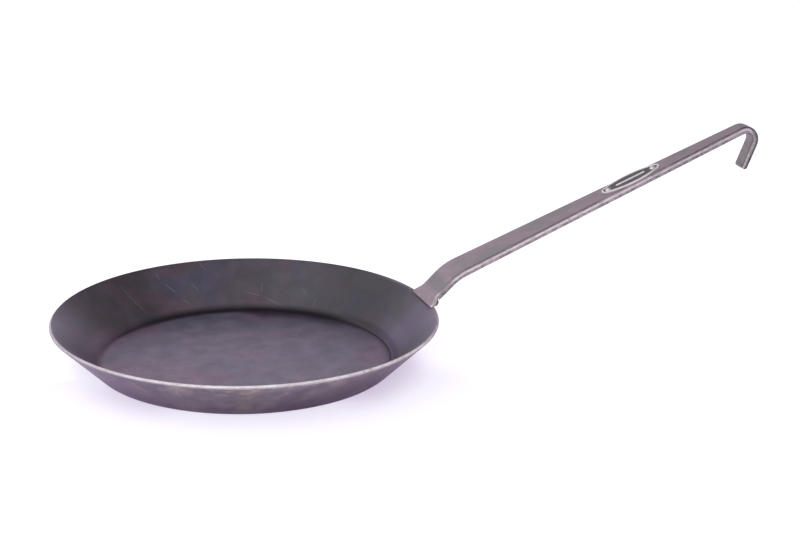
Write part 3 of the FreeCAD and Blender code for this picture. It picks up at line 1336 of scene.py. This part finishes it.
@dataclass
class Bowl:
    """The pressed sheet bowl, its sheet a little uneven as pressing leaves it."""

    rim_radius: float = 140.0 * MM
    height: float = 33.5 * MM
    wall_angle: float = math.radians(44.0)
    sheet: float = 2.5 * MM
    bend_radius: float = 5.0 * MM
    rim_round: float = 0.30 * MM
    crease_radius: float = 104.8 * MM
    unevenness: float = 0.22 * MM
    patch: float = 34.0 * MM
    patch_slice: float = 0.4
    wall_from: float = 100.0 * MM
    wall_to: float = 112.0 * MM
    still_rim: float = 14.0 * MM
    rim_share: float = 0.15
    floor_share: float = 0.35
    around: int = 360
    longest_run: float = 4.0 * MM
    bend_runs: int = 6

    def section(self) -> list[Vector]:
        """The sheet's section, from the middle of the floor over the rim to the middle of the underside.

        Returns:
            Points with the radius in X and the height in Z.
        """
        lie, rise = math.cos(self.wall_angle), math.sin(self.wall_angle)
        outer = Vector((self.rim_radius, 0.0, self.height - self.sheet * lie))
        inner = Vector((self.rim_radius - self.sheet * rise, 0.0, self.height))
        slope = math.tan(self.wall_angle)
        floor_end = Vector((inner.x - (inner.z - self.sheet) / slope, 0.0, self.sheet))
        base_end = Vector((outer.x - outer.z / slope, 0.0, 0.0))
        return rounded_outline([
            (Vector((0.0, 0.0, self.sheet)), 0.0), (floor_end, self.bend_radius), (inner, self.rim_round),
            (outer, self.rim_round), (base_end, self.bend_radius + self.sheet),
            (Vector((0.0, 0.0, 0.0)), 0.0),
        ], self.longest_run, self.bend_runs)

    def pressed(self, place: Vector) -> Vector:
        """Moves a point as the uneven sheet does: both faces alike, inward or upward only.

        Args:
            place: The point on the true form.

        Returns:
            The point on the uneven sheet.
        """
        radius = math.hypot(place.x, place.y)
        on_wall = min(max((radius - self.wall_from) / (self.wall_to - self.wall_from), 0.0), 1.0)
        off_rim = min(max((self.rim_radius - radius) / self.still_rim, 0.0), 1.0)
        cloud = 0.5 + 0.5 * noise.noise(Vector((place.x, place.y, self.patch_slice)) / self.patch)
        by_rim = self.rim_share + (1 - self.rim_share) * off_rim
        by_floor = self.floor_share + (1 - self.floor_share) * on_wall
        lift = self.unevenness * cloud * by_rim * by_floor
        way = Vector((0.0, 0.0, 1.0))
        if radius > 0.0:
            outward = Vector((place.x, place.y, 0.0)) / radius
            lean = self.wall_angle * on_wall
            way = Vector((0.0, 0.0, math.cos(lean))) - outward * math.sin(lean)
        return place + way * lift

    def build(self) -> None:
        """Turns the section into the bowl and dresses it."""
        section = self.section()
        points = [self.pressed(section[0])]
        for ring in section[1:-1]:
            for number in range(self.around):
                turn = math.tau * number / self.around
                place = Vector((ring.x * math.cos(turn), ring.x * math.sin(turn), ring.z))
                points.append(self.pressed(place))
        points.append(self.pressed(section[-1]))
        faces: list[tuple[int, ...]] = []
        last = len(points) - 1
        for number in range(self.around):
            ahead = (number + 1) % self.around
            faces.append((0, 1 + number, 1 + ahead))
            for ring in range(len(section) - 3):
                low, high = 1 + ring * self.around, 1 + (ring + 1) * self.around
                faces.append((low + number, high + number, high + ahead, low + ahead))
            final = last - self.around
            faces.append((final + number, last, final + ahead))
        finish = PanFinish(self.rim_radius, self.height, self.wall_angle, self.sheet, self.crease_radius)
        add_piece("pressed_bowl", points, faces, Slot.PAN_IRON, finish.make(), "pan_body")


@dataclass
class Weld:
    """The rippled bead that holds the bar to the rim."""

    middle_radius: float = 141.18 * MM
    middle_height: float = 34.51 * MM
    bead_radius: float = 3.3 * MM
    half_sweep: float = math.radians(4.55)
    taper: float = 5.6 * MM
    slope: float = math.radians(44.0)
    swell_power: float = 0.62
    end_share: float = 0.08
    ripple: float = 1.5 * MM
    depth: float = 0.22 * MM
    crescent: float = 0.9 * MM
    crescent_turn: float = 0.8
    around: int = 24
    along: int = 96
    finish: MottledMetal = MottledMetal("weld_scale", (0.250, 0.230, 0.235), (0.085, 0.074, 0.084), 0.5)

    def build(self) -> None:
        """Sweeps the bead along the rim, thick and thin with each ripple."""
        half_length = self.middle_radius * self.half_sweep + self.taper
        points: list[Vector] = []
        for station in range(self.along + 1):
            run = half_length * (2 * station / self.along - 1)
            end = min((half_length - abs(run)) / self.taper, 1.0)
            swell = (1 - (1 - end) ** 2) ** self.swell_power
            turn = run / self.middle_radius
            drop = self.middle_radius * (1 - math.cos(turn)) * math.tan(self.slope)
            for corner in range(self.around):
                angle = math.tau * corner / self.around
                curved = run + self.crescent * math.cos(angle + self.crescent_turn)
                rib = 0.5 + 0.5 * math.cos(math.tau * curved / self.ripple)
                size = (self.bead_radius - self.depth * (1 - rib)) * max(swell, self.end_share)
                radius = self.middle_radius + size * math.cos(angle)
                points.append(Vector((radius * math.cos(turn), radius * math.sin(turn),
                                      self.middle_height - drop + size * math.sin(angle))))
        faces: list[tuple[int, ...]] = []
        for station in range(self.along):
            low, high = station * self.around, (station + 1) * self.around
            for corner in range(self.around):
                ahead = (corner + 1) % self.around
                faces.append((low + corner, low + ahead, high + ahead, high + corner))
        faces.append(tuple(range(self.around - 1, -1, -1)))
        faces.append(tuple(self.along * self.around + corner for corner in range(self.around)))
        add_piece("rippled_weld", points, faces, Slot.WELD_METAL, self.finish.make(), "weld_bead")


@dataclass
class Handle:
    """The hooked bar."""

    crank_corner: tuple[float, float] = (156.59 * MM, 54.26 * MM)
    hook_corner: tuple[float, float] = (412.70 * MM, 153.60 * MM)
    steep_slope: float = math.radians(44.0)
    shank_slope: float = math.radians(21.2)
    hook_turn: float = math.radians(135.2)
    crank_radius: float = 45.2 * MM
    hook_radius: float = 11.1 * MM
    plate_middle: float = 300.35 * MM

    def build(self) -> None:
        """Dresses the bar."""
        leg_slope = self.shank_slope - self.hook_turn
        bends = (Bend(self.crank_corner, self.steep_slope, self.shank_slope, self.crank_radius),
                 Bend(self.hook_corner, self.shank_slope, leg_slope, self.hook_radius))
        dress_node("handle_bar", RolledBar(bends, self.plate_middle).make())


@dataclass
class NamePlate:
    """The blank oval plate with a plain raised bar in its field, and its two rivets."""

    middle: Vector = field(default_factory=lambda: Vector((300.35, 0.0, 110.02)) * MM)
    slope: float = math.radians(21.2)
    field_height: float = 0.6 * MM
    border_height: float = 1.0 * MM
    bar_length: float = 25.0 * MM
    bar_width: float = 2.4 * MM
    bar_rise: float = 0.34 * MM
    bar_section: tuple[tuple[float, float], ...] = (
        (0.0, -0.2), (0.0, 0.3), (0.08 * MM, 0.7), (0.25 * MM, 0.93), (0.5 * MM, 1.0),
    )
    rivet: MottledMetal = MottledMetal("rivet_bare", (0.70, 0.67, 0.70), (0.50, 0.47, 0.50), 0.3)

    def on_plate(self, along: float, across: float, rise: float) -> Vector:
        """A place on the plate.

        Args:
            along: Distance from the plate's middle towards the hook.
            across: Distance to the left of that way.
            rise: Height above the bar's face.

        Returns:
            The place in the frame.
        """
        tilt = Matrix.Rotation(-self.slope, 3, "Y")
        return self.middle + tilt @ Vector((along, across, rise))

    def build(self) -> None:
        """Dresses the plate and the rivets and adds the raised bar."""
        finish = StampedPlate(self.middle, self.slope, self.field_height, self.border_height).make()
        dress_node("name_plate", finish)
        metal = self.rivet.make()
        dress_node("rivet_pan_side", metal)
        dress_node("rivet_hook_side", metal)
        rings: list[list[Vector]] = []
        for inset, rise in self.bar_section:
            rings.append([self.on_plate(along, across, self.field_height + self.bar_rise * rise)
                          for along, across in self.pill(inset)])
        points = [place for ring in rings for place in ring]
        count = len(rings[0])
        faces: list[tuple[int, ...]] = []
        for ring in range(len(rings) - 1):
            for corner in range(count):
                ahead = (corner + 1) % count
                faces.append((ring * count + corner, ring * count + ahead,
                              (ring + 1) * count + ahead, (ring + 1) * count + corner))
        faces.append(tuple((len(rings) - 1) * count + corner for corner in range(count)))
        faces.append(tuple(range(count - 1, -1, -1)))
        add_piece("plate_raised_bar", points, faces, Slot.PLATE_METAL, finish)

    def pill(self, inset: float, steps: int = 10) -> list[tuple[float, float]]:
        """The raised bar's outline, a straight bar with round ends.

        Args:
            inset: How far inside the full outline.
            steps: Runs in each round end.

        Returns:
            Points as distances along and across the plate.
        """
        radius = self.bar_width / 2
        straight = self.bar_length / 2 - radius
        outline: list[tuple[float, float]] = []
        for side, start in ((1.0, -math.pi / 2), (-1.0, math.pi / 2)):
            for number in range(steps + 1):
                angle = start + math.pi * number / steps
                outline.append((side * straight + (radius - inset) * math.cos(angle),
                                (radius - inset) * math.sin(angle)))
        return outline


@dataclass(frozen=True)
class Lamp:
    """One soft box that points at the pan."""

    name: str
    place: tuple[float, float, float]
    size: tuple[float, float]
    watts: float

    def build(self) -> None:
        """Hangs the soft box and points it."""
        data = bpy.data.lights.new(self.name, "AREA")
        data.shape = "RECTANGLE"
        data.size, data.size_y = self.size
        data.energy = self.watts
        lamp = bpy.data.objects.new(self.name, data)
        lamp.location = self.place
        lamp.rotation_euler = (-Vector(self.place)).to_track_quat("-Z", "Y").to_euler()
        bpy.context.scene.collection.objects.link(lamp)
        LOG.info("lamp %s", self.name)


@dataclass
class Studio:
    """The pale floor, the white surroundings, the lamps and the camera."""

    lamps: tuple[Lamp, ...] = (
        Lamp("softbox_left", (-1.6, -0.4, 1.5), (2.0, 2.0), 7.5),
        Lamp("softbox_front", (-0.6, -1.9, 0.9), (1.4, 1.0), 9.0),
    )
    camera_place: Vector = field(default_factory=lambda: Vector((-0.4214, -1.5728, 0.6022)))
    camera_heading: float = math.radians(18.93)
    camera_dip: float = math.radians(18.08)
    camera_roll: float = math.radians(0.24)
    lens: float = 107.5
    floor_size: float = 6.0
    farthest_seen: float = 50.0
    floor_gap: float = 0.2 * MM
    floor_rough: float = 0.9
    floor_colour: Colour = (0.56, 0.56, 0.56)
    floor_lift: Colour = (0.68, 0.645, 0.755)
    shade_tint: Colour = (0.26, 0.13, 0.34)
    front_shade: float = 0.38
    front_reach: Fade = Fade(142.0 * MM, 108.0 * MM)
    front_sector: Strip = sector(-38.0, 14.0, 24.0)
    left_shade: float = 0.24
    left_reach: Fade = Fade(146.0 * MM, 104.0 * MM)
    left_sector: Strip = sector(-152.0, 6.0, 22.0)
    clear_lift: float = 0.20
    clear_reach: Fade = Fade(116.0 * MM, 134.0 * MM)
    clear_turn: Fade = Fade(math.radians(-34.0), math.radians(-14.0))
    world_level: float = 0.70
    mirror_level: float = 1.0
    dim_side: Colour = (0.44, 0.37, 0.82)
    dim_start: float = 0.74
    dim_end: float = 0.93
    dim_share: float = 0.72

    def build(self) -> None:
        """Builds everything that isn't the pan."""
        self.lay_floor()
        self.light_world()
        for lamp in self.lamps:
            lamp.build()
        self.place_camera()

    def lay_floor(self) -> None:
        """A pale plane that looks white where no shadow lies.

        Its material is tinted lilac, and carries two soft shades close to the pan and a lighter
        stretch behind it, drawn by place beside the shadow that the lamps cast.
        """
        half = self.floor_size / 2
        mesh = bpy.data.meshes.new("floor")
        corners = [(-half, -half, 0.0), (half, -half, 0.0), (half, half, 0.0), (-half, half, 0.0)]
        mesh.from_pydata(corners, [], [(0, 1, 2, 3)])
        floor = bpy.data.objects.new("floor", mesh)
        floor.location.z = -self.floor_gap
        bpy.context.scene.collection.objects.link(floor)
        g = Graph("floor_paper")
        rays = g.node("ShaderNodeLightPath").outputs
        seen = g.largest(rays["Is Camera Ray"], rays["Is Glossy Ray"], rays["Is Transmission Ray"])
        x, y, _ = g.split(g.place)
        radius, turn = g.length(g.joined(x, y)), g.maths(Maths.ANGLE, y, x)
        front = g.product(self.front_reach.of(g, radius), self.front_sector.of(g, turn))
        left = g.product(self.left_reach.of(g, radius), self.left_sector.of(g, turn))
        clear = g.product(self.clear_reach.of(g, radius), self.clear_turn.of(g, turn))
        shade = g.weighed((front, self.front_shade), (left, self.left_shade))
        lift = g.blend(shade, self.floor_lift, self.shade_tint)
        seen = g.product(seen, g.plus(1.0, g.product(clear, self.clear_lift)))
        g.dress(Base_Color=self.floor_colour, Roughness=self.floor_rough, Specular_IOR_Level=0.0,
                Emission_Color=lift, Emission_Strength=seen)
        mesh.materials.append(g.material)
        LOG.info("floor laid")

    def light_world(self) -> None:
        """A soft light from all round, dimmer on one side, and white where it is seen directly."""
        world = bpy.data.worlds.new("surroundings")
        world.use_nodes = True
        tree = world.node_tree
        links = tree.links
        rays = tree.nodes.new("ShaderNodeLightPath")
        mirrored = tree.nodes.new("ShaderNodeMapRange")
        mirrored.inputs["To Min"].default_value = self.world_level
        mirrored.inputs["To Max"].default_value = self.mirror_level
        links.new(rays.outputs["Is Glossy Ray"], mirrored.inputs["Value"])
        way = tree.nodes.new("ShaderNodeVectorMath")
        way.operation = "DOT_PRODUCT"
        way.inputs[1].default_value = self.dim_side
        links.new(tree.nodes.new("ShaderNodeTexCoord").outputs["Generated"], way.inputs[0])
        dimmed = tree.nodes.new("ShaderNodeMapRange")
        dimmed.interpolation_type = "SMOOTHSTEP"
        dimmed.inputs["From Min"].default_value = self.dim_start
        dimmed.inputs["From Max"].default_value = self.dim_end
        dimmed.inputs["To Min"].default_value = 1.0
        dimmed.inputs["To Max"].default_value = 1.0 - self.dim_share
        links.new(way.outputs["Value"], dimmed.inputs["Value"])
        shaded = tree.nodes.new("ShaderNodeMath")
        shaded.operation = "MULTIPLY"
        links.new(mirrored.outputs[0], shaded.inputs[0])
        links.new(dimmed.outputs[0], shaded.inputs[1])
        level = tree.nodes.new("ShaderNodeMapRange")
        links.new(rays.outputs["Is Camera Ray"], level.inputs["Value"])
        links.new(shaded.outputs[0], level.inputs["To Min"])
        background = tree.nodes["Background"]
        background.inputs["Color"].default_value = (1.0, 1.0, 1.0, 1.0)
        links.new(level.outputs[0], background.inputs["Strength"])
        bpy.context.scene.world = world

    def place_camera(self) -> None:
        """A long lens, a little above the rim and well back."""
        data = bpy.data.cameras.new("camera")
        data.lens = self.lens
        data.clip_end = self.farthest_seen
        camera = bpy.data.objects.new("camera", data)
        camera.location = self.camera_place
        tilt = Euler((math.pi / 2 - self.camera_dip, 0.0, -self.camera_heading)).to_matrix()
        roll = Euler((0.0, 0.0, self.camera_roll)).to_matrix()
        camera.rotation_euler = (tilt @ roll).to_euler()
        bpy.context.scene.collection.objects.link(camera)
        bpy.context.scene.camera = camera
        LOG.info("camera placed")


def main() -> None:
    """Builds the pan's looks and the studio round it."""
    logging.basicConfig(level=logging.INFO, format="%(name)s: %(message)s")
    bpy.context.scene.view_settings.view_transform = "Standard"
    for assembly in (Bowl(), Weld(), Handle(), NamePlate(), Studio()):
        assembly.build()
        LOG.info("%s done", type(assembly).__name__)


if __name__ == "__main__":
    main()
